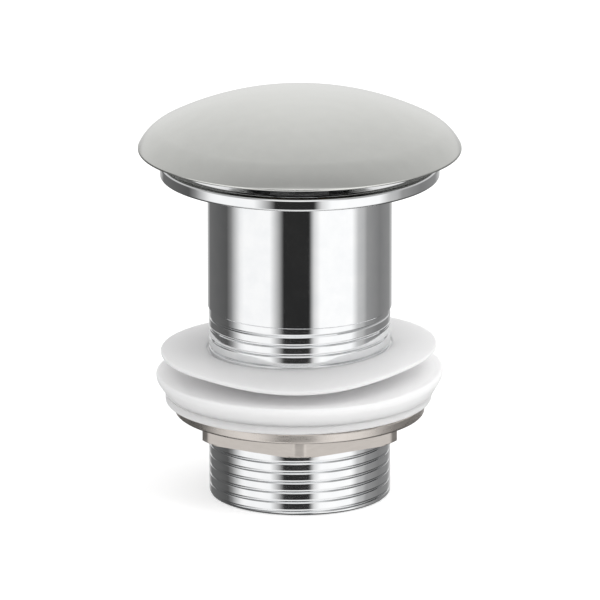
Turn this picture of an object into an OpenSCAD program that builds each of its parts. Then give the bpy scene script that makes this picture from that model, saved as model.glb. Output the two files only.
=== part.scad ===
// Pop-up basin waste: a flanged and threaded tube with a domed plug on a click cartridge,
// and the loose washers and back nut that clamp it under a basin.
// Heights are counted from the flange's seat on the basin, and the whole stands on its tail end.

/* [Waste body] */
// Length of the tube from the flange's seat to the tail end
tail_length = 75; // [70:0.5:110]
// Crest diameter of the tail's pipe thread
thread_d = 41.6; // [38:0.1:45]
// Length of the thread up from the tail end
thread_length = 44.2; // [40:0.1:55]
// Pitch of the thread
thread_pitch = 2.309; // [1.5:0.001:2.5]
// Width of the thread's groove at the crest
thread_groove_w = 0.5; // [0.3:0.02:0.9]
// Depth of the thread's groove
thread_groove_depth = 0.4; // [0.3:0.05:0.7]
// Height of the lowest full turn above the tail end, at the front
thread_start = 3.18; // [2.8:0.01:4]
// How much wider the plain shank is than the thread
shank_extra = 0.6; // [0.4:0.1:1.5]
// Wall of the tube behind the thread
tail_wall = 2.3; // [1.8:0.1:3]
// Chamfer at the tail end
tail_chamfer = 0.4; // [0.3:0.1:1.2]
// Inward step of the bore above the bridge
bore_step = 0.5; // [0.4:0.1:1]
// Diameter of the flange
flange_d = 64; // [60:0.5:75]
// Thickness of the flange
flange_t = 3.2; // [2:0.1:4]
// Rounding of the flange's top edge, and twice that of its underside
flange_round = 0.9; // [0.4:0.1:1]
// Fall of the flange's top from its edge to the plug seat
flange_dish = 1.6; // [0.4:0.1:2]
// Height of the cone that the plug closes on
seat_h = 2.4; // [2:0.1:3]

/* [Cap and plug] */
// How far the cap's rim reaches past the flange
cap_overhang = 5; // [3.5:0.05:8]
// Gap between the flange's top and the cap's rim when open
cap_lift = 2.9; // [2.7:0.1:6]
// Rise of the dome above its rim
cap_rise = 12.8; // [10:0.1:16]
// Radius of the dome's shoulder
cap_shoulder = 10.8; // [9:0.1:13]
// Depth of the shoulder's centre below the top of the rim
cap_drop = 4.7; // [3:0.1:6]
// Height of the straight rim
cap_rim = 0.5; // [0.4:0.1:1]
// Thickness of the dome
cap_shell = 1.5; // [1:0.1:2]
// Stroke from open to closed
travel = 5.5; // [4.5:0.1:5.5]
// Diameter of the boss under the cap
boss_d = 13; // [12.5:0.5:18]
// Thickness of the seal's body
seal_t = 1.5; // [1.2:0.1:2]
// Width of the seal's sloped lip
lip_w = 1.4; // [1:0.1:1.8]
// Width across the flats of the rod's locknut
rod_nut_af = 13; // [13:0.5:17]
// Height of the rod's locknut
rod_nut_h = 4; // [3:0.1:5]

/* [Cartridge] */
// Diameter of the push rod
rod_d = 8; // [7:0.1:8.4]
// Diameter of the cross pin
pin_d = 2; // [1.5:0.1:2.5]
// Angle that one stroke turns the cam sleeve by
cam_angle = 50; // [30:1:60]
// Wall of the cam sleeve
sleeve_wall = 2.4; // [2.2:0.1:3]
// Land above and below the cam slot
sleeve_land = 2; // [1.5:0.1:3]
// Wall of the housing around the sleeve
housing_wall = 2; // [1.8:0.1:3]
// Depth of the pin's guide grooves in the housing
groove_depth = 0.8; // [0.6:0.1:1]
// Height of the gland nut's hexagon
gland_h = 3; // [2.5:0.1:4]
// Length of the gland nut's spigot in the housing
gland_spigot = 5; // [4:0.1:7]
// Thickness of the rod's O-ring
o_ring_d = 1.8; // [1.4:0.1:2]
// Wire of the return spring
spring_wire = 0.9; // [0.6:0.1:1]
// Turns of the return spring
spring_turns = 7; // [5:1:8]
// Length of the return spring when open
spring_length = 17.5; // [16:0.1:18]
// Thickness of the washer under the spring
spring_seat_t = 0.5; // [0.4:0.1:0.8]

/* [Bridge] */
// Depth of the bridge's top below the flange's seat
bridge_depth = 37; // [36:0.5:40]
// Height of the bridge
bridge_h = 6; // [5:0.1:8]
// Wall of the bridge's outer ring
ring_wall = 1.8; // [1.5:0.1:2.5]
// Wall of the bridge's hub
hub_wall = 3; // [2.5:0.1:4]
// Width of each arm
arm_w = 4; // [3:0.1:5]
// Number of arms
arm_count = 3; // [3:1:4]
// Wall of the housing's threaded end
stud_wall = 1.7; // [1.5:0.1:2]
// Width across the flats of the nut under the bridge
stud_nut_af = 17; // [16.5:0.5:18]
// Height of the nut under the bridge
stud_nut_h = 4; // [3:0.1:5]

/* [Washers and back nut] */
// Height of the back nut's underside above the tail end
nut_stand = 14.7; // [12:0.1:18]
// Width across the flats of the back nut
nut_af = 44.5; // [44.2:0.1:52]
// Height of the back nut's hexagon
nut_hex_h = 4.5; // [3.5:0.1:8]
// How much is turned off the hexagon's corners
nut_corner_cut = 0.65; // [0.3:0.05:1]
// Diameter of the back nut's collar
nut_collar_d = 57.3; // [54:0.1:64]
// Thickness of the back nut's collar
nut_collar_t = 2.3; // [1.5:0.1:4]
// Diameter of the slip washer
slip_d = 61.1; // [56:0.1:66]
// Thickness of the slip washer
slip_t = 2.1; // [1.5:0.1:3]
// Diameter of the tapered seal at its rim
seal_d = 65.8; // [60:0.1:70]
// Diameter of the tapered seal at its foot
seal_foot_d = 61.3; // [56:0.1:62]
// Height of the tapered seal at its rim
seal_h = 4.7; // [4:0.1:7]
// Depth of the dish in the tapered seal's top
seal_dish = 0.6; // [0.4:0.1:2.5]
// Tilt of the tapered seal on the thread
seal_tilt = 0.4; // [0:0.1:1.5]
// Diameter of the flange washer
washer_d = 62.9; // [58:0.1:66]
// Thickness of the flange washer
washer_t = 0.9; // [0.8:0.1:3]
// Rise of the flange washer from its edge to its hole
washer_cone = 0.6; // [0:0.1:1.5]
// Height that the flange washer hangs above the tapered seal's rim
washer_stand = 4.7; // [2:0.1:6]
// Tilt of the flange washer on the thread
washer_tilt = 2; // [0:0.1:3]

/* [Fits] */
// Gap between pieces that are fastened together
fast_fit = 0.05; // [0.02:0.01:0.08]
// Gap between pieces that slide or turn in each other
slide_fit = 0.08; // [0.05:0.01:0.1]
// Gap around the pin in its slot and grooves
pin_fit = 0.15; // [0.12:0.01:0.2]
// Gap between the loose pieces stacked on the back nut
stack_fit = 0.1; // [0.1:0.01:0.3]
// Gap between the shank and the washers' holes
loose_fit = 0.25; // [0.2:0.01:0.4]
// Room left under the locknut when the plug is closed
closed_room = 0.9; // [0.6:0.1:1.2]

/* [Hidden] */
$fn = 128;

// Waste body
thread_r = thread_d / 2;
shank_r = thread_r + shank_extra / 2;
tail_bore_r = thread_r - tail_wall;
bore_r = tail_bore_r - bore_step;
flange_r = flange_d / 2;
thread_top = thread_length - tail_length;
thread_lean = atan(thread_pitch / 4 / thread_r);
thread_climb = thread_length - thread_start - thread_pitch / 4 - thread_groove_w / 2;
thread_turns = floor(thread_climb / thread_pitch) + 1;
seat_top = flange_t - flange_dish;
seat_low = seat_top - seat_h;
seat_r = bore_r + seat_h;
dish_r = flange_r - 2;

// Cap
cap_r = flange_r + cap_overhang;
rim_z = flange_t + cap_lift;
dome_turn_r = cap_r - sqrt(cap_shoulder * cap_shoulder - cap_drop * cap_drop);
dome_turn_z = rim_z + cap_rim - cap_drop;
dome_rise = cap_rise + cap_drop;
dome_r = (dome_turn_r * dome_turn_r + dome_rise * dome_rise - cap_shoulder * cap_shoulder)
    / (2 * (dome_rise - cap_shoulder));
dome_z = dome_turn_z + dome_rise - dome_r;
dome_under = dome_z + dome_r - cap_shell;

// Plug, open: the lip lies along the seat's cone when the stroke brings it down
lip_r = bore_r + 0.2;
lip_z = seat_low + 0.2 + slide_fit + travel;
seal_z = lip_z + 0.7;
carrier_r = bore_r - 0.5;
carrier_neck_r = carrier_r - 1.5;
carrier_foot = 1.2;
carrier_lip = 0.8;
carrier_z = seal_z - fast_fit - carrier_foot;
carrier_top = seal_z + seal_t + fast_fit + carrier_lip;
rod_r = rod_d / 2;
rod_hole_r = rod_r + fast_fit;
rod_slide_r = rod_r + slide_fit;
boss_r = boss_d / 2;
boss_spigot_r = rod_hole_r + 1.4;
rod_nut_z = carrier_z - fast_fit - rod_nut_h;
rod_top = dome_under - 2;

// Cartridge, from the gland's top down
sleeve_r = rod_slide_r + sleeve_wall;
housing_bore_r = sleeve_r + slide_fit;
housing_r = housing_bore_r + housing_wall;
gland_af = 2 * (housing_r - 0.5);
gland_z = rod_nut_z - travel - closed_room - gland_h;
gland_low = gland_z - gland_spigot;
groove_r = rod_r + slide_fit / 2 + o_ring_d;
slot_r = pin_d / 2 + pin_fit;
sleeve_h = travel + 2 * slot_r + 2 * sleeve_land;
sleeve_top = gland_low - slide_fit;
sleeve_z = sleeve_top - sleeve_h;
shoulder_z = sleeve_z - slide_fit;
pin_z = sleeve_top - sleeve_land - slot_r;
pin_half = housing_bore_r + groove_depth - pin_fit;
rod_low = sleeve_z + 1;
rod_tip = 3;
spring_r = rod_r - 0.8;
rod_tip_r = spring_r - spring_wire * 0.8;
spring_z = rod_low - spring_length;
spring_bore_r = rod_r + 0.3;
housing_floor = spring_z - spring_seat_t - fast_fit;

// Bridge
bridge_z = -bridge_depth - fast_fit;
bridge_low = bridge_z - bridge_h;
stud_r = spring_bore_r + stud_wall;
hub_r = stud_r + fast_fit + hub_wall;
ring_r = tail_bore_r - fast_fit;
stud_nut_z = bridge_low - fast_fit - stud_nut_h;
housing_z = min(housing_floor - 2, stud_nut_z - 0.5);

// Washers and back nut, from the nut up
nut_z = nut_stand - tail_length;
nut_collar_z = nut_z + nut_hex_h;
nut_top = nut_collar_z + nut_collar_t;
ring_hole_r = shank_r + loose_fit;
slip_z = nut_top + stack_fit;
seal_foot_r = seal_foot_d / 2;
seal_foot_z = slip_z + slip_t + stack_fit + seal_foot_r * tan(seal_tilt);
washer_z = seal_foot_z + seal_h + washer_stand;

// Points of an arc in a section, from one angle to another, counted from a given step
function arc(x, z, r, from, to, steps = 6, first = 0) =
    [for (i = [first : steps]) let (a = from + (to - from) * i / steps) [x + r * cos(a), z + r * sin(a)]];

// Points around the wire at one place along a coil
function wire_ring(r, wire_r, turn, z) =
    [for (k = [0 : 7]) let (a = k * 45, x = r + wire_r * cos(a))
        [x * cos(turn), x * sin(turn), z + wire_r * sin(a)]];

// Height along the spring: both end coils lie flat and the rest climbs
function coil_z(t) = t < 0.1 ? 0.25 * t : t > 0.9 ? 1 - 0.25 * (1 - t) : 0.025 + (t - 0.1) * 0.95 / 0.8;

module at_seat() {
    translate([0, 0, tail_length]) children();
}

module tube(r, hole, z, h) {
    translate([0, 0, z]) difference() {
        cylinder(r = r, h = h);
        translate([0, 0, -1]) cylinder(r = hole, h = h + 2);
    }
}

// Hexagonal nut with both rims chamfered and a corner towards the front
module hex_nut(af, h, hole, z) {
    corner = af / 2 / cos(30);
    edge = (corner - af / 2) * 0.7;
    translate([0, 0, z]) difference() {
        intersection() {
            rotate([0, 0, 30]) cylinder(r = corner, h = h, $fn = 6);
            rotate_extrude() polygon([[0, 0], [corner - edge, 0], [corner, edge * 0.6],
                [corner, h - edge * 0.6], [corner - edge, h], [0, h]]);
        }
        translate([0, 0, -1]) cylinder(r = hole, h = h + 2);
    }
}

// Loose ring that leans about its middle, its high side towards +X
module leaning(z, middle, tilt) {
    translate([0, 0, z + middle]) rotate([0, -tilt, 0]) translate([0, 0, -middle]) children();
}

// Half a turn of the thread's groove, behind the axis, leaning so that its left end is higher
module groove_half(z) {
    past = 0.2;
    edge = thread_groove_w / 2;
    root = edge / 5;
    root_r = thread_r - thread_groove_depth;
    outer_r = thread_r + past;
    outer = edge + (edge - root) * past / thread_groove_depth;
    translate([0, 0, z]) rotate([0, thread_lean, 0]) rotate_extrude(angle = 180)
        polygon([[root_r, -root], [outer_r, -outer], [outer_r, outer], [root_r, root]]);
}

// The thread climbs half a pitch round the back, then half a pitch round the front
module thread_groove() {
    for (i = [0 : thread_turns - 1])
        translate([0, 0, thread_start - tail_length + i * thread_pitch]) {
            groove_half(-thread_pitch / 2);
            rotate([0, 0, 180]) groove_half(0);
        }
}

module waste_body() {
    color([0.78, 0.79, 0.8]) at_seat() difference() {
        rotate_extrude() polygon(concat(
            [[tail_bore_r, -tail_length], [thread_r - tail_chamfer, -tail_length],
                [thread_r, tail_chamfer - tail_length], [thread_r, thread_top],
                [shank_r, thread_top], [shank_r, 0]],
            arc(flange_r - flange_round / 2, flange_round / 2, flange_round / 2, -90, 0),
            arc(flange_r - flange_round, flange_t - flange_round, flange_round, 0, 90),
            [[dish_r, flange_t], [seat_r, seat_top], [bore_r, seat_low], [bore_r, -bridge_depth],
                [tail_bore_r, -bridge_depth]]));
        thread_groove();
    }
}

module bridge() {
    color([0.8, 0.68, 0.42]) at_seat() difference() {
        union() {
            tube(ring_r, ring_r - ring_wall, bridge_low, bridge_h);
            translate([0, 0, bridge_low]) cylinder(r = hub_r, h = bridge_h);
            for (i = [0 : arm_count - 1]) rotate([0, 0, 90 + i * 360 / arm_count])
                translate([0, -arm_w / 2, bridge_low]) cube([ring_r - ring_wall / 2, arm_w, bridge_h]);
        }
        translate([0, 0, bridge_low - 1]) cylinder(r = stud_r + fast_fit, h = bridge_h + 2);
    }
}

module cartridge_housing() {
    top = gland_z - fast_fit;
    groove_low = pin_z - travel - slot_r;
    color([0.9, 0.9, 0.87]) at_seat() difference() {
        union() {
            translate([0, 0, -bridge_depth]) cylinder(r = housing_r, h = top + bridge_depth);
            translate([0, 0, housing_z]) cylinder(r = stud_r, h = -bridge_depth - housing_z + 1);
        }
        translate([0, 0, shoulder_z]) cylinder(r = housing_bore_r, h = top - shoulder_z + 1);
        translate([0, 0, housing_floor]) cylinder(r = spring_bore_r, h = shoulder_z - housing_floor + 1);
        translate([-housing_bore_r - groove_depth, -slot_r, groove_low])
            cube([2 * (housing_bore_r + groove_depth), 2 * slot_r, top - groove_low + 1]);
    }
}

module gland_nut() {
    color([0.82, 0.7, 0.45]) at_seat() difference() {
        union() {
            hex_nut(gland_af, gland_h, rod_slide_r, gland_z);
            translate([0, 0, gland_low]) cylinder(r = housing_bore_r - fast_fit, h = gland_spigot);
        }
        translate([0, 0, gland_low - 1]) cylinder(r = rod_slide_r, h = gland_spigot + 2);
        o_ring_groove();
    }
}

// Groove inside the gland nut for the rod's O-ring
module o_ring_groove() {
    height = o_ring_d + 2 * fast_fit;
    translate([0, 0, gland_z - height / 2]) cylinder(r = groove_r + fast_fit, h = height);
}

module rod_o_ring() {
    color([0.06, 0.06, 0.06]) at_seat() translate([0, 0, gland_z]) rotate_extrude()
        translate([groove_r - o_ring_d / 2, 0]) circle(d = o_ring_d, $fn = 32);
}

module return_spring() {
    steps = spring_turns * 24;
    wire_r = spring_wire / 2;
    foot = spring_z + wire_r + fast_fit;
    climb = spring_length - spring_wire - 2 * fast_fit;
    points = [for (i = [0 : steps])
        each wire_ring(spring_r, wire_r, i * 15, foot + climb * coil_z(i / steps))];
    sides = [for (i = [0 : steps - 1]) for (k = [0 : 7])
        [i * 8 + k, i * 8 + (k + 1) % 8, (i + 1) * 8 + (k + 1) % 8, (i + 1) * 8 + k]];
    ends = [[for (k = [0 : 7]) 7 - k], [for (k = [0 : 7]) steps * 8 + k]];
    color([0.7, 0.71, 0.73]) at_seat() polyhedron(points, concat(sides, ends));
}

module spring_seat() {
    color([0.72, 0.73, 0.74]) at_seat()
        tube(spring_bore_r - fast_fit, spring_r - spring_wire, housing_floor + fast_fit, spring_seat_t);
}

module retaining_nut() {
    color([0.82, 0.7, 0.45]) at_seat() hex_nut(stud_nut_af, stud_nut_h, stud_r + fast_fit, stud_nut_z);
}

// The slot slants so that a pin moving straight down turns the sleeve
module cam_sleeve() {
    slot_steps = 14;
    color([0.93, 0.93, 0.9]) at_seat() difference() {
        tube(sleeve_r, rod_slide_r, sleeve_z, sleeve_h);
        for (i = [0 : slot_steps]) translate([0, 0, pin_z - travel * i / slot_steps])
            rotate([0, 90, -cam_angle * i / slot_steps])
                cylinder(r = slot_r, h = 2 * sleeve_r + 2, center = true, $fn = 48);
    }
}

module push_rod() {
    color([0.75, 0.76, 0.78]) at_seat() difference() {
        union() {
            translate([0, 0, rod_low]) cylinder(r = rod_r, h = rod_top - rod_low);
            translate([0, 0, rod_low - rod_tip]) cylinder(r = rod_tip_r, h = rod_tip + 1);
        }
        translate([0, 0, pin_z]) rotate([0, 90, 0])
            cylinder(d = pin_d + 2 * fast_fit, h = rod_d + 2, center = true);
    }
}

module cross_pin() {
    color([0.7, 0.71, 0.73]) at_seat() translate([0, 0, pin_z]) rotate([0, 90, 0])
        cylinder(d = pin_d, h = 2 * pin_half, center = true);
}

module rod_locknut() {
    color([0.72, 0.73, 0.74]) at_seat() hex_nut(rod_nut_af, rod_nut_h, rod_hole_r, rod_nut_z);
}

module cap_boss() {
    color([0.78, 0.79, 0.8]) at_seat() difference() {
        intersection() {
            union() {
                translate([0, 0, carrier_top + fast_fit]) cylinder(r = boss_r, h = dome_r);
                translate([0, 0, carrier_z + 0.3]) cylinder(r = boss_spigot_r, h = dome_r);
            }
            translate([0, 0, dome_z]) sphere(r = dome_r - cap_shell - fast_fit);
        }
        translate([0, 0, carrier_z - 1]) cylinder(r = rod_hole_r, h = rod_top + fast_fit - carrier_z + 1);
    }
}

module seal_carrier() {
    hole = boss_spigot_r + fast_fit;
    foot_top = carrier_z + carrier_foot;
    lip_low = carrier_top - carrier_lip;
    rim_r = carrier_r - 0.3;
    color([0.15, 0.15, 0.16]) at_seat() rotate_extrude() polygon([[hole, carrier_z],
        [carrier_r - 0.5, carrier_z], [carrier_r, carrier_z + 0.5], [carrier_r, foot_top],
        [carrier_neck_r, foot_top], [carrier_neck_r, lip_low], [rim_r, lip_low], [rim_r, carrier_top],
        [hole, carrier_top]]);
}

module plug_seal() {
    inner = carrier_neck_r + fast_fit;
    outer = lip_r + lip_w;
    lip_top = lip_z + lip_w;
    color([0.05, 0.05, 0.05]) at_seat() rotate_extrude() polygon([[inner, seal_z], [carrier_r + 0.1, seal_z],
        [lip_r, lip_z], [outer, lip_top], [outer - 0.3, lip_top + 0.5], [carrier_r - 0.1, seal_z + seal_t],
        [inner, seal_z + seal_t]]);
}

module dome_cap() {
    inner_r = cap_shoulder - cap_shell;
    meet = atan2(dome_turn_z - dome_z, dome_turn_r);
    rim_angle = asin(cap_drop / cap_shoulder);
    inner_angle = asin((rim_z - dome_turn_z) / inner_r);
    color([0.72, 0.73, 0.71]) at_seat() rotate_extrude() polygon(concat(
        arc(0, dome_z, dome_r, 90, meet, 12),
        arc(dome_turn_r, dome_turn_z, cap_shoulder, meet, rim_angle, 8, 1),
        [[cap_r, rim_z]],
        arc(dome_turn_r, dome_turn_z, inner_r, inner_angle, meet, 8),
        arc(0, dome_z, dome_r - cap_shell, meet, 90, 12, 1)));
}

module flange_washer() {
    edge = washer_t / 2;
    outer = washer_d / 2;
    color([0.9, 0.9, 0.88]) at_seat() leaning(washer_z, washer_cone + edge, washer_tilt)
        rotate_extrude() polygon(concat([[ring_hole_r, washer_cone]], arc(outer - edge, edge, edge, -90, 90),
            [[ring_hole_r, washer_cone + washer_t]]));
}

module tapered_seal() {
    outer = seal_d / 2;
    low = seal_h - seal_dish;
    color([0.9, 0.9, 0.88]) at_seat() leaning(seal_foot_z, low / 2, seal_tilt)
        rotate_extrude() polygon(concat([[ring_hole_r, 0], [seal_foot_r, 0]],
            arc(outer - 0.6, seal_h - 1.3, 0.6, -25, 0, 3), arc(outer - 0.6, seal_h - 0.6, 0.6, 0, 90),
            [[outer - 1.8, seal_h - 0.3], [ring_hole_r + 3, low], [ring_hole_r, low]]));
}

module slip_washer() {
    edge = 0.4;
    outer = slip_d / 2;
    top = slip_z + slip_t;
    color([0.91, 0.91, 0.89]) at_seat() rotate_extrude() polygon(concat([[ring_hole_r, slip_z]],
        arc(outer - edge, slip_z + edge, edge, -90, 0), arc(outer - edge, top - edge, edge, 0, 90),
        [[ring_hole_r, top]]));
}

module back_nut() {
    hole = thread_r + slide_fit;
    edge = 0.4;
    collar_r = nut_collar_d / 2;
    corner = nut_af / 2 / cos(30);
    turned_r = corner - nut_corner_cut;
    hex_top = nut_hex_h + edge;
    color([0.72, 0.7, 0.67]) at_seat() difference() {
        union() {
            translate([0, 0, nut_z]) intersection() {
                rotate([0, 0, 30]) cylinder(r = corner, h = hex_top, $fn = 6);
                rotate_extrude() polygon([[0, 0], [turned_r - 0.95, 0], [turned_r, 0.45],
                    [turned_r, hex_top], [0, hex_top]]);
            }
            translate([0, 0, nut_collar_z]) rotate_extrude() polygon([[0, 0], [collar_r - edge, 0],
                [collar_r, edge], [collar_r, nut_collar_t - edge], [collar_r - edge, nut_collar_t],
                [0, nut_collar_t]]);
        }
        translate([0, 0, nut_z - 1]) cylinder(r = hole, h = nut_top - nut_z + 2);
    }
}

waste_body();
bridge();
cartridge_housing();
gland_nut();
rod_o_ring();
return_spring();
spring_seat();
retaining_nut();
cam_sleeve();
push_rod();
cross_pin();
rod_locknut();
cap_boss();
seal_carrier();
plug_seal();
dome_cap();
flange_washer();
tapered_seal();
slip_washer();
back_nut();
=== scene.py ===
import math

import bmesh
import bpy
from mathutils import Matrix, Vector


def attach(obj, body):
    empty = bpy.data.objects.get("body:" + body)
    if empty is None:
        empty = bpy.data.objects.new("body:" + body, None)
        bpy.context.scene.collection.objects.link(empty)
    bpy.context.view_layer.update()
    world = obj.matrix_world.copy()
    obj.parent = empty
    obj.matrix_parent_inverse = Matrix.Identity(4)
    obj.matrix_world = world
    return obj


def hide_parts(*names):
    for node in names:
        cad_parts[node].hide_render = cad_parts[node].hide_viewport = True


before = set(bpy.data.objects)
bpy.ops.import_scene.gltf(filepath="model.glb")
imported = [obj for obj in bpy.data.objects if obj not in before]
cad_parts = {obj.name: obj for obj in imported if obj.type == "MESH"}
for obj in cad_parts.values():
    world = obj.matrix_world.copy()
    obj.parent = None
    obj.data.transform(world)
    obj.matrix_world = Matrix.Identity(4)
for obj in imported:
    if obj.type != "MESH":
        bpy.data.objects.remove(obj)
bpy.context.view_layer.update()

MM = 0.001
COLUMNS = 240

# Sizes in millimetres, with heights counted from the tail end
CREST_R, SHANK_R, TAIL_BORE_R, BORE_R = 20.8, 21.1, 18.5, 18.0
TAIL_CHAMFER, BORE_CHAMFER, BORE_STEP_Z = 0.4, 0.4, 38.0
THREAD_TOP, SHANK_STEP, SHANK_FILLET = 44.2, 0.25, 0.25
SEAT_Z, FLANGE_TOP, FLANGE_R, FLANGE_ROUND = 75.0, 78.2, 32.0, 0.9
DISH_R, DISH_ROUND, SEAT_R, SEAT_TOP, SEAT_LOW = 30.0, 0.3, 20.4, 76.6, 74.2
PITCH, GROOVE_HALF, GROOVE_ROOT, GROOVE_DEPTH, GROOVE_FRONT_Z = 2.309, 0.25, 0.05, 0.4, 7.8
GROOVE_EDGE_W, GROOVE_EDGE_DIP = 0.3, 0.035
CAP_R, CAP_RIM_Z, CAP_RIM_TOP, CAP_RIM_ROUND, CAP_SHELL = 37.0, 81.1, 81.6, 0.2, 1.5
DOME_R, DOME_Z, SHOULDER_R, SHOULDER_X, SHOULDER_Z = 69.672, 24.728, 10.8, 27.276, 76.9
NUT_Z, NUT_COLLAR_Z, NUT_TOP, NUT_CHAMFER = 14.7, 19.2, 21.5, 0.6
NUT_FLAT, NUT_TURNED_R, NUT_COLLAR_R, NUT_BORE_R = 22.25, 25.04, 28.65, 20.9
SLIP_Z, SLIP_T, SLIP_R, SLIP_TILT, HOLE_R = 21.92, 2.1, 30.55, 0.6, 21.35
SEAL_Z, SEAL_H, SEAL_PIVOT, SEAL_R, SEAL_FOOT_R, SEAL_TILT = 24.0145, 4.7, 2.05, 32.9, 30.65, 0.4
SEAL_RING_W, SEAL_RING_H, SEAL_HOLE_H, SEAL_LIP_LIFT = 3.0, 5.0, 5.2, 0.9
WASHER_Z, WASHER_T, WASHER_CONE, WASHER_R, WASHER_HOLE_R = 33.4145, 0.9, 0.6, 31.65, 21.15
WASHER_TILT, WASHER_FRONT_DROOP, WASHER_BACK_DROOP, WASHER_LEFT_LIFT = 2.0, 1.9, 0.7, 0.5
RIM_SHIFT = -0.25


# Meshes

def arc(x, z, r, start, end, steps=8):
    """Points of an arc in a section, angles in degrees."""
    turn = [math.radians(start + (end - start) * i / steps) for i in range(steps + 1)]
    return [(x + r * math.cos(a), z + r * math.sin(a)) for a in turn]


def rounded(corners, steps=5):
    """Closed section from (radius, height, rounding) corners."""
    out = []
    for i, (x, z, r) in enumerate(corners):
        before, after = corners[i - 1], corners[(i + 1) % len(corners)]
        if not r:
            out.append((x, z))
            continue
        a = Vector((before[0] - x, before[1] - z)).normalized()
        b = Vector((after[0] - x, after[1] - z)).normalized()
        half = math.acos(max(-1.0, min(1.0, a.dot(b)))) / 2
        middle = Vector((x, z)) + (a + b).normalized() * (r / math.sin(half))
        start = Vector((x, z)) + a * (r / math.tan(half)) - middle
        end = Vector((x, z)) + b * (r / math.tan(half)) - middle
        first = math.atan2(start.y, start.x)
        sweep = (math.atan2(end.y, end.x) - first + math.pi) % (2 * math.pi) - math.pi
        for k in range(steps + 1):
            angle = first + sweep * k / steps
            out.append((middle.x + r * math.cos(angle), middle.y + r * math.sin(angle)))
    return out


def with_supports(section, closed, near=0.12):
    """Adds a point near both ends of each long straight, so that smooth shading stays flat along it."""
    out = []
    count = len(section)
    for i in range(count if closed else count - 1):
        (x0, z0), (x1, z1) = section[i], section[(i + 1) % count]
        length = math.hypot(x1 - x0, z1 - z0)
        out.append((x0, z0))
        if length > 5 * near:
            for t in (near / length, 1 - near / length):
                out.append((x0 + (x1 - x0) * t, z0 + (z1 - z0) * t))
    return out if closed else out + [section[-1]]


def turned(mesh, section, closed=True, columns=COLUMNS, shift=None):
    """Turns a section of (radius, height) points about Z into a bmesh; shift places a point by its angle."""
    points = with_supports(section, closed)
    grid = []
    for i in range(columns):
        a = 2 * math.pi * i / columns
        column = []
        for r, z in points:
            place = shift(r, z, a) if shift else (r * math.cos(a), r * math.sin(a), z)
            column.append(mesh.verts.new([c * MM for c in place]))
        grid.append(column)
    last = len(points) if closed else len(points) - 1
    for i in range(columns):
        here, there = grid[i], grid[(i + 1) % columns]
        for k in range(last):
            n = (k + 1) % len(points)
            mesh.faces.new((here[k], there[k], there[n], here[n]))


def thread_radius(angle, z):
    """Radius of the tail: flat crests, and narrow grooves with rounded edges that run out at the top."""
    front = angle + math.pi / 2
    turn = (z - GROOVE_FRONT_Z) / PITCH - front / (2 * math.pi)
    off = abs(turn - round(turn)) * PITCH
    depth = GROOVE_DEPTH * min(1.0, max(0.0, (GROOVE_HALF - off) / (GROOVE_HALF - GROOVE_ROOT)))
    edge = 1 - min(1.0, max(0.0, (off - GROOVE_HALF) / GROOVE_EDGE_W))
    fade = min(1.0, max(0.0, (THREAD_TOP - SHANK_STEP - z) / PITCH))
    return CREST_R - (depth + GROOVE_EDGE_DIP * edge * edge) * fade * fade * (3 - 2 * fade)


def add_thread(mesh):
    """Rows follow the helix, so that each groove's edge is one clean line all the way round."""
    half = [GROOVE_ROOT, GROOVE_HALF, *[GROOVE_HALF + GROOVE_EDGE_W * t for t in (0.3, 0.65, 1.0, 1.4)]]
    offsets = [0.0, *half, PITCH / 2, *[PITCH - h for h in reversed(half)]]
    rows = [k * PITCH + o for k in range(-3, 22) for o in offsets]
    per_turn = len(offsets)
    grid = []
    for i in range(COLUMNS):
        a = 2 * math.pi * i / COLUMNS
        lead = (GROOVE_FRONT_Z % PITCH) + PITCH * (a / (2 * math.pi) + 0.25)
        column = []
        for row in rows:
            z = min(THREAD_TOP, max(TAIL_CHAMFER, row + lead))
            r = thread_radius(a, z)
            column.append(mesh.verts.new((r * math.cos(a) * MM, r * math.sin(a) * MM, z * MM)))
        grid.append(column)
    for i in range(COLUMNS):
        here, there = grid[i], grid[(i + 1) % COLUMNS]
        jump = per_turn if i == COLUMNS - 1 else 0
        for k in range(len(rows) - 1 - jump):
            mesh.faces.new((here[k], there[k + jump], there[k + jump + 1], here[k + 1]))
    chamfer = [(CREST_R - TAIL_CHAMFER, 0.0), (CREST_R, TAIL_CHAMFER)]
    turned(mesh, chamfer, closed=False, shift=chamfer_point)


def chamfer_point(r, z, a):
    """The end's chamfer, notched where a groove runs out through it."""
    r = min(r, thread_radius(a, z))
    return r * math.cos(a), r * math.sin(a), z


def piece(name, mesh, body, node, material, sharp=35):
    """Makes an object from a bmesh that stands for a CAD node and rides on its body."""
    bmesh.ops.remove_doubles(mesh, verts=mesh.verts, dist=0.000002)
    bmesh.ops.recalc_face_normals(mesh, faces=mesh.faces)
    data = bpy.data.meshes.new(name)
    mesh.to_mesh(data)
    mesh.free()
    data.shade_smooth()
    data.set_sharp_from_angle(angle=math.radians(sharp))
    obj = bpy.data.objects.new(name, data)
    bpy.context.scene.collection.objects.link(obj)
    data.materials.append(material)
    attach(obj, body)
    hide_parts(node)


# Materials

def put(tree, kind, inputs=(), **settings):
    """Adds a node, sets its properties, and fills inputs with numbers or with other nodes' outputs."""
    node = tree.nodes.new(kind)
    for key, value in settings.items():
        setattr(node, key, value)
    for key, value in dict(inputs).items():
        if isinstance(value, bpy.types.NodeSocket):
            tree.links.new(value, node.inputs[key])
        else:
            node.inputs[key].default_value = value
    return node


def math_node(tree, operation, a, b=0.0):
    return put(tree, "ShaderNodeMath", {0: a, 1: b}, operation=operation).outputs[0]


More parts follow.
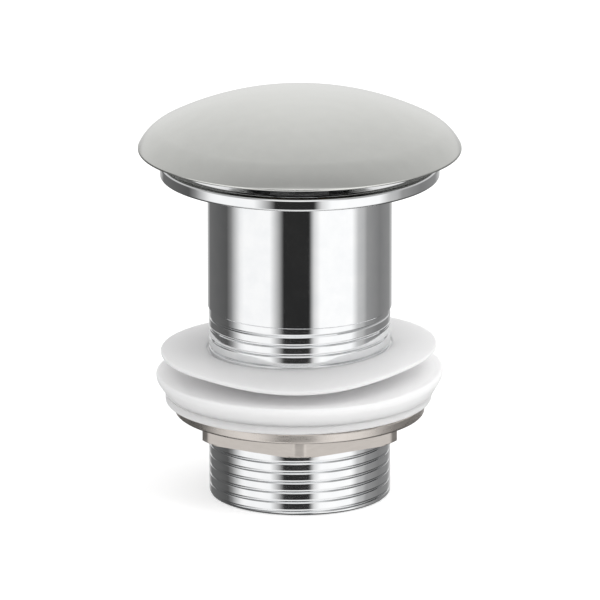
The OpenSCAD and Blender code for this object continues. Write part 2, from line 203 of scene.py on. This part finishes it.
def ramp(tree, factor, stops):
    """Straight colour ramp through (position, brightness or colour) pairs."""
    node = put(tree, "ShaderNodeValToRGB", {"Fac": factor})
    marks = node.color_ramp.elements
    while len(marks) < len(stops):
        marks.new(1.0)
    for mark, (position, value) in zip(marks, stops):
        mark.position = position
        mark.color = (*value, 1) if isinstance(value, tuple) else (value, value, value, 1)
    return node.outputs["Color"]


def surface(name, low, high, rough, grain, bump, metallic=0.0, patch=260.0, stretch=(1, 1, 1), dull=None,
            **sockets):
    """Colour and roughness drift in soft patches, with a fine grain in the bump.

    grain and patch are noise scales per metre, and bump is a depth in millimetres. dull is a pair of a
    height and an extra roughness, for a piece that is less polished below that height.
    """
    material = bpy.data.materials.new(name)
    material.use_nodes = True
    tree = material.node_tree
    shader = tree.nodes["Principled BSDF"]
    spot = put(tree, "ShaderNodeTexCoord").outputs["Object"]
    place = put(tree, "ShaderNodeMapping", {"Vector": spot, "Scale": stretch}).outputs["Vector"]
    drift = put(tree, "ShaderNodeTexNoise", {"Vector": place, "Scale": patch, "Detail": 3.0}).outputs["Fac"]
    fine = put(tree, "ShaderNodeTexNoise", {"Vector": place, "Scale": grain, "Detail": 5.0}).outputs["Fac"]
    tree.links.new(ramp(tree, drift, [(0.35, low), (0.65, high)]), shader.inputs["Base Color"])
    mixed = math_node(tree, "ADD", math_node(tree, "MULTIPLY", drift, 0.5),
                      math_node(tree, "MULTIPLY", fine, 0.5))
    spread = put(tree, "ShaderNodeMapRange", {"Value": mixed, "From Min": 0.35, "From Max": 0.65,
                                              "To Min": rough[0], "To Max": rough[1]})
    roughness = spread.outputs["Result"]
    if dull:
        limit, extra = dull
        blur = 0.1
        height = put(tree, "ShaderNodeSeparateXYZ", {0: spot}).outputs["Z"]
        below = put(tree, "ShaderNodeMapRange", {"Value": height, "From Min": (limit + blur) * MM,
                                                 "From Max": (limit - blur) * MM, "To Max": extra})
        roughness = math_node(tree, "ADD", roughness, below.outputs["Result"])
    tree.links.new(roughness, shader.inputs["Roughness"])
    relief = put(tree, "ShaderNodeBump", {"Height": fine, "Strength": 0.5, "Distance": bump * MM})
    tree.links.new(relief.outputs["Normal"], shader.inputs["Normal"])
    shader.inputs["Metallic"].default_value = metallic
    for key, value in sockets.items():
        shader.inputs[key.replace("_", " ")].default_value = value
    return material


CHROME_LOOK = ((0.86, 0.87, 0.88), (0.9, 0.905, 0.91), (0.03, 0.07), 2500.0, 0.0004, 1.0)
CHROME = surface("bright_chrome", *CHROME_LOOK)
TUBE_CHROME = surface("tube_chrome", *CHROME_LOOK, dull=(THREAD_TOP, 0.03))
SATIN = surface("satin_chrome", (0.80, 0.805, 0.775), (0.82, 0.825, 0.795), (0.19, 0.24), 9000.0, 0.0006,
                metallic=1.0)
NICKEL = surface("satin_nickel", (0.70, 0.65, 0.605), (0.76, 0.71, 0.665), (0.25, 0.33), 3500.0, 0.002,
                 metallic=1.0, stretch=(1, 1, 4), dull=(NUT_COLLAR_Z, 0.1))
BRASS = surface("raw_brass", (0.60, 0.43, 0.19), (0.70, 0.53, 0.26), (0.22, 0.38), 3000.0, 0.003,
                metallic=1.0, stretch=(1, 1, 6))
STEEL = surface("stainless_steel", (0.56, 0.565, 0.57), (0.64, 0.645, 0.65), (0.18, 0.3), 3000.0, 0.002,
                metallic=1.0, stretch=(1, 1, 8))
WHITE_ACETAL = surface("white_acetal", (0.76, 0.76, 0.73), (0.82, 0.82, 0.79), (0.34, 0.46), 5000.0, 0.004)
BLACK_ACETAL = surface("black_acetal", (0.045, 0.045, 0.047), (0.065, 0.065, 0.068), (0.3, 0.42), 5000.0,
                       0.004)
RUBBER = surface("black_rubber", (0.025, 0.025, 0.025), (0.035, 0.035, 0.035), (0.5, 0.68), 4000.0, 0.008)
MILKY = surface("milky_plastic", (0.95, 0.94, 0.945), (0.975, 0.965, 0.97), (0.36, 0.46), 2200.0, 0.006,
                patch=90.0, Subsurface_Weight=1.0, Subsurface_Radius=(1.0, 1.0, 1.0), Subsurface_Scale=0.006,
                Specular_IOR_Level=0.2)

NODE_FINISH = {
    "bridge": BRASS, "gland_nut": BRASS, "retaining_nut": BRASS, "rod_locknut": STEEL, "cap_boss": CHROME,
    "push_rod": STEEL, "cross_pin": STEEL, "return_spring": STEEL, "spring_seat": STEEL,
    "cartridge_housing": WHITE_ACETAL, "cam_sleeve": WHITE_ACETAL,
    "seal_carrier": BLACK_ACETAL, "plug_seal": RUBBER, "rod_o_ring": RUBBER,
    "waste_body": CHROME, "dome_cap": SATIN, "back_nut": NICKEL,
    "flange_washer": MILKY, "tapered_seal": MILKY, "slip_washer": MILKY,
}
for node_name, finish in NODE_FINISH.items():
    node_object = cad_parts[node_name]
    node_object.data.materials.clear()
    node_object.data.materials.append(finish)


# Waste body

def make_waste_body():
    mesh = bmesh.new()
    add_thread(mesh)
    upper, lower = FLANGE_ROUND, FLANGE_ROUND / 2
    section = [(CREST_R, THREAD_TOP), (SHANK_R, THREAD_TOP + SHANK_STEP)]
    section += arc(SHANK_R + SHANK_FILLET, SEAT_Z - SHANK_FILLET, SHANK_FILLET, 180, 90, 4)
    section += arc(FLANGE_R - lower, SEAT_Z + lower, lower, -90, 0)
    section += arc(FLANGE_R - upper, FLANGE_TOP - upper, upper, 0, 90)
    section += arc(DISH_R, FLANGE_TOP - DISH_ROUND, DISH_ROUND, 90, 96, 2)
    section += [(SEAT_R, SEAT_TOP), (BORE_R, SEAT_LOW), (BORE_R, BORE_STEP_Z), (TAIL_BORE_R, BORE_STEP_Z),
                (TAIL_BORE_R, BORE_CHAMFER), (TAIL_BORE_R + BORE_CHAMFER, 0.0), (CREST_R - TAIL_CHAMFER, 0.0)]
    turned(mesh, section, closed=False)
    piece("waste_tube", mesh, "waste", "waste_body", TUBE_CHROME)


make_waste_body()


# Dome cap

def make_dome_cap():
    meet = math.degrees(math.atan2(SHOULDER_Z - DOME_Z, SHOULDER_X))
    rim = math.degrees(math.asin((CAP_RIM_TOP - SHOULDER_Z) / SHOULDER_R))
    inner = SHOULDER_R - CAP_SHELL
    inner_end = math.degrees(math.asin((CAP_RIM_Z + 0.1 - SHOULDER_Z) / inner))
    edge = CAP_RIM_ROUND
    mesh = bmesh.new()
    section = arc(0, DOME_Z, DOME_R, 90, meet, 40)
    section += arc(SHOULDER_X, SHOULDER_Z, SHOULDER_R, meet, rim + 1, 24)[1:]
    section += [(CAP_R - 0.02, CAP_RIM_TOP + 0.02), (CAP_R, CAP_RIM_TOP - 0.1)]
    section += arc(CAP_R - edge, CAP_RIM_Z + edge, edge, 0, -90, 5)
    section += arc(SHOULDER_X, SHOULDER_Z, inner, inner_end, meet, 20)
    section += arc(0, DOME_Z, DOME_R - CAP_SHELL, meet, 90, 32)[1:]
    turned(mesh, section, closed=False)
    piece("cap_dome", mesh, "plug", "dome_cap", SATIN, sharp=60)


make_dome_cap()


# Back nut

def nut_point(r, z, a):
    """Keeps the lower part of the turned blank inside the hexagon."""
    if z < NUT_COLLAR_Z - 0.005 or r <= NUT_TURNED_R + 0.001:
        sixth = math.pi / 3
        off = (a + sixth / 2) % sixth - sixth / 2
        r = min(r, NUT_FLAT / math.cos(off))
    return r * math.cos(a), r * math.sin(a), z


def make_back_nut():
    bore, chamfer = NUT_BORE_R, NUT_CHAMFER
    section = rounded([
        (bore, NUT_Z + chamfer, 0), (bore + chamfer, NUT_Z, 0), (NUT_TURNED_R - 0.95, NUT_Z, 0.2),
        (NUT_TURNED_R, NUT_Z + 0.45, 0.25), (NUT_TURNED_R, NUT_COLLAR_Z, 0),
        (NUT_COLLAR_R, NUT_COLLAR_Z, 0.4), (NUT_COLLAR_R, NUT_TOP, 0.3),
        (bore + chamfer, NUT_TOP, 0), (bore, NUT_TOP - chamfer, 0)])
    mesh = bmesh.new()
    turned(mesh, section, columns=360, shift=nut_point)
    piece("collar_nut", mesh, "back_nut", "back_nut", NICKEL, sharp=22)


make_back_nut()


# Washers and seal

def leaning(middle, tilt, bend=None, aside=0.0, hole=HOLE_R, rim=SEAL_R):
    """Placing of a ring that leans towards -X about its middle height; its rim may be bent and shifted."""
    turn = math.radians(tilt)

    def place(r, z, a):
        reach = (r - hole) / (rim - hole)
        x, up = r * math.cos(a), z - middle
        return (x * math.cos(turn) - up * math.sin(turn) + aside * reach, r * math.sin(a),
                middle + x * math.sin(turn) + up * math.cos(turn) + (reach * bend(a, z) if bend else 0.0))
    return place


def make_slip_washer():
    low, top = SLIP_Z, SLIP_Z + SLIP_T
    section = rounded([(HOLE_R, low, 0.3), (SLIP_R, low, 0.6), (SLIP_R, top, 0.35), (HOLE_R, top, 0.3)])
    mesh = bmesh.new()
    turned(mesh, section, shift=leaning(low + SLIP_T / 2, SLIP_TILT, aside=RIM_SHIFT, rim=SLIP_R))
    piece("washer_slip", mesh, "slip_washer", "slip_washer", MILKY)


def seal_lip(a, z):
    """The soft lip is pushed up a little at its right."""
    lift = max(0.0, math.cos(a - math.radians(20)))
    return SEAL_LIP_LIFT * lift * lift * (z - SEAL_Z) / SEAL_H


def make_tapered_seal():
    low, top = SEAL_Z, SEAL_Z + SEAL_H
    section = rounded([(HOLE_R, low, 0.3), (SEAL_FOOT_R, low, 0.2), (SEAL_R, top - 1.4, 2.0),
                       (SEAL_R, top, 0.6), (SEAL_R - 1.8, top - 0.2, 0.5),
                       (HOLE_R + SEAL_RING_W, low + SEAL_RING_H, 1.5), (HOLE_R, low + SEAL_HOLE_H, 0.4)])
    mesh = bmesh.new()
    turned(mesh, section, shift=leaning(low + SEAL_PIVOT, SEAL_TILT, seal_lip))
    piece("seal_tapered", mesh, "tapered_seal", "tapered_seal", MILKY)


def washer_bend(a, z):
    """The thin washer droops at its front and a little at its back, and has sprung up at its left."""
    front = max(0.0, (math.cos(a + math.radians(85)) - 0.6) / 0.4)
    back = max(0.0, math.sin(a))
    left = max(0.0, -math.cos(a))
    droop = WASHER_FRONT_DROOP * front * front + WASHER_BACK_DROOP * back * back
    return WASHER_LEFT_LIFT * left ** 4 - droop


def make_flange_washer():
    low, thick, hole = WASHER_Z, WASHER_T, WASHER_HOLE_R
    inner = low + WASHER_CONE
    section = rounded([(hole, inner, 0.3), (WASHER_R, low, 0.35), (WASHER_R, low + thick, 0.4),
                       (hole, inner + thick, 0.3)], steps=7)
    mesh = bmesh.new()
    place = leaning(inner + thick / 2, WASHER_TILT, washer_bend, aside=RIM_SHIFT, hole=hole, rim=WASHER_R)
    turned(mesh, section, shift=place)
    piece("washer_flange", mesh, "flange_washer", "flange_washer", MILKY)


make_slip_washer()
make_tapered_seal()
make_flange_washer()


# Stage

def make_floor():
    """White paper that keeps the object's shadow, glows for the camera and is clear from below."""
    size, glow_strength, drop = 12.0, 0.4, 0.0002
    material = bpy.data.materials.new("floor_white")
    material.use_nodes = True
    tree = material.node_tree
    tree.nodes.clear()
    path = put(tree, "ShaderNodeLightPath").outputs
    seen = math_node(tree, "MAXIMUM", path["Is Camera Ray"], path["Is Glossy Ray"])
    seen = math_node(tree, "MAXIMUM", seen, path["Is Transmission Ray"])
    glow = put(tree, "ShaderNodeEmission", {"Strength": math_node(tree, "MULTIPLY", seen, glow_strength)})
    paper = put(tree, "ShaderNodeBsdfDiffuse", {"Color": (0.85, 0.85, 0.85, 1)})
    both = put(tree, "ShaderNodeAddShader", {0: paper.outputs[0], 1: glow.outputs[0]})
    under = put(tree, "ShaderNodeNewGeometry").outputs["Backfacing"]
    clear = put(tree, "ShaderNodeBsdfTransparent")
    out = put(tree, "ShaderNodeMixShader", {0: under, 1: both.outputs[0], 2: clear.outputs[0]})
    put(tree, "ShaderNodeOutputMaterial", {"Surface": out.outputs[0]})
    data = bpy.data.meshes.new("floor")
    half = size / 2
    corners = [(-half, -half, 0), (half, -half, 0), (half, half, 0), (-half, half, 0)]
    data.from_pydata(corners, [], [(0, 1, 2, 3)])
    data.materials.append(material)
    floor = bpy.data.objects.new("floor", data)
    floor.location.z = -drop
    bpy.context.scene.collection.objects.link(floor)
    floor.visible_glossy = False


def make_world():
    """White room with dark cards round it for mirrors, and a plain soft light for everything else.

    Angles are counted from the camera's side, positive towards +X.
    """
    world = bpy.data.worlds.new("studio")
    bpy.context.scene.world = world
    world.use_nodes = True
    world.cycles.sampling_method = "NONE"
    tree = world.node_tree
    tree.nodes.clear()
    way = put(tree, "ShaderNodeTexCoord").outputs["Generated"]
    axes = put(tree, "ShaderNodeSeparateXYZ", {0: way}).outputs
    back = math_node(tree, "MULTIPLY", axes["Y"], -1.0)
    around = math_node(tree, "ARCTAN2", axes["X"], back)
    around = math_node(tree, "ADD", math_node(tree, "DIVIDE", around, 2 * math.pi), 0.5)

    def at(degrees):
        return 0.5 + degrees / 360

    def eased(value, start, end):
        return put(tree, "ShaderNodeMapRange", {"Value": value, "From Min": start, "From Max": end},
                   interpolation_type="SMOOTHSTEP").outputs["Result"]

    def mixed(factor, a, b):
        # Sockets 6 and 7 take the colours, and output 2 gives their mix
        return put(tree, "ShaderNodeMix", {0: factor, 6: a, 7: b}, data_type="RGBA").outputs[2]

    def by_depth(pairs):
        return ramp(tree, depth, [((y + 1) / 2, value) for y, value in pairs])

    cards = ramp(tree, around, [
        (at(-180), 0.85), (at(-166), 0.60), (at(-152), 0.16), (at(-104), 0.10), (at(-96), 0.25),
        (at(-80), 0.95), (at(-74), 1.05), (at(-38), 1.05), (at(-26), 0.40), (at(-20), 0.025),
        (at(12), 0.025), (at(18), 0.75), (at(26), 1.1), (at(69), 1.1), (at(79), 0.60), (at(88), 0.5),
        (at(94), 0.32), (at(120), 0.22), (at(150), 0.28), (at(166), 0.60), (at(180), 0.85)])
    depth = math_node(tree, "ADD", math_node(tree, "MULTIPLY", axes["Y"], 0.5), 0.5)
    ceiling = by_depth([(-1, 1.0), (-0.9, 0.9), (-0.75, 0.36), (-0.45, 0.43), (-0.1, 0.50), (0.2, 0.53),
                        (0.33, 0.56), (0.485, 0.645), (0.81, 0.80), (0.96, 0.85), (1, 0.86)])
    beside = eased(math_node(tree, "ABSOLUTE", axes["X"]), 0.0, 0.45)
    behind = math_node(tree, "MULTIPLY", eased(axes["Y"], 0.3, 0.7), 0.15)
    beside = math_node(tree, "MULTIPLY", beside, behind)
    ceiling = mixed(beside, ceiling, (0.0, 0.0, 0.0, 1))
    ground = by_depth([(-1, 1.0), (-0.6, 0.95), (-0.35, 0.5), (-0.1, 0.10), (0.3, 0.06), (1, 0.2)])
    room = mixed(eased(axes["Z"], -0.10, 0.03), cards, ceiling)
    room = mixed(eased(axes["Z"], -0.31, -0.37), room, ground)
    path = put(tree, "ShaderNodeLightPath").outputs
    mirror = put(tree, "ShaderNodeBackground", {"Color": room})
    wall = ramp(tree, axes["Z"], [(0.2, 1.0), (0.5, 0.92)])
    right = math_node(tree, "ADD", math_node(tree, "MULTIPLY", axes["X"], 0.25), 1.0)
    soft = put(tree, "ShaderNodeBackground", {"Color": wall, "Strength": right})
    white = put(tree, "ShaderNodeBackground", {"Color": (1, 1, 1, 1), "Strength": 1.0})
    seen = math_node(tree, "MAXIMUM", path["Is Camera Ray"], path["Is Transmission Ray"])
    lit = put(tree, "ShaderNodeMixShader",
              {0: path["Is Glossy Ray"], 1: soft.outputs[0], 2: mirror.outputs[0]})
    out = put(tree, "ShaderNodeMixShader", {0: seen, 1: lit.outputs[0], 2: white.outputs[0]})
    put(tree, "ShaderNodeOutputWorld", {"Surface": out.outputs[0]})


def make_lamp(name, place, power, aim=(0, 0, 0.03), size=0.9):
    """Soft round lamp that mirrors don't show."""
    light = bpy.data.lights.new(name, "AREA")
    light.shape = "DISK"
    light.size = size
    light.energy = power
    lamp = bpy.data.objects.new(name, light)
    lamp.location = place
    away = [a - p for a, p in zip(aim, place)]
    lamp.rotation_euler = Vector(away).to_track_quat("-Z", "Y").to_euler()
    lamp.visible_glossy = False
    lamp.visible_camera = False
    bpy.context.scene.collection.objects.link(lamp)


def make_camera():
    """Stands where the photograph was taken from: low in front, far away, with a long lens."""
    distance, tilt, aim_z, shift_x = 3.0, math.radians(15.77), 0.04529, 0.00007
    camera = bpy.data.cameras.new("camera")
    camera.sensor_width = 36.0
    camera.lens = 785.9
    camera.clip_start = 0.05
    camera.clip_end = 30.0
    view = bpy.data.objects.new("camera", camera)
    view.location = (shift_x, -distance * math.cos(tilt), aim_z + distance * math.sin(tilt))
    view.rotation_euler = (math.pi / 2 - tilt, 0, 0)
    bpy.context.scene.collection.objects.link(view)
    bpy.context.scene.camera = view


make_floor()
make_world()
make_lamp("key", (1.0, -1.1, 1.7), 9.5)
make_lamp("fill", (-0.9, -1.0, 1.2), 1.0)
make_camera()
bpy.context.scene.view_settings.view_transform = "Standard"
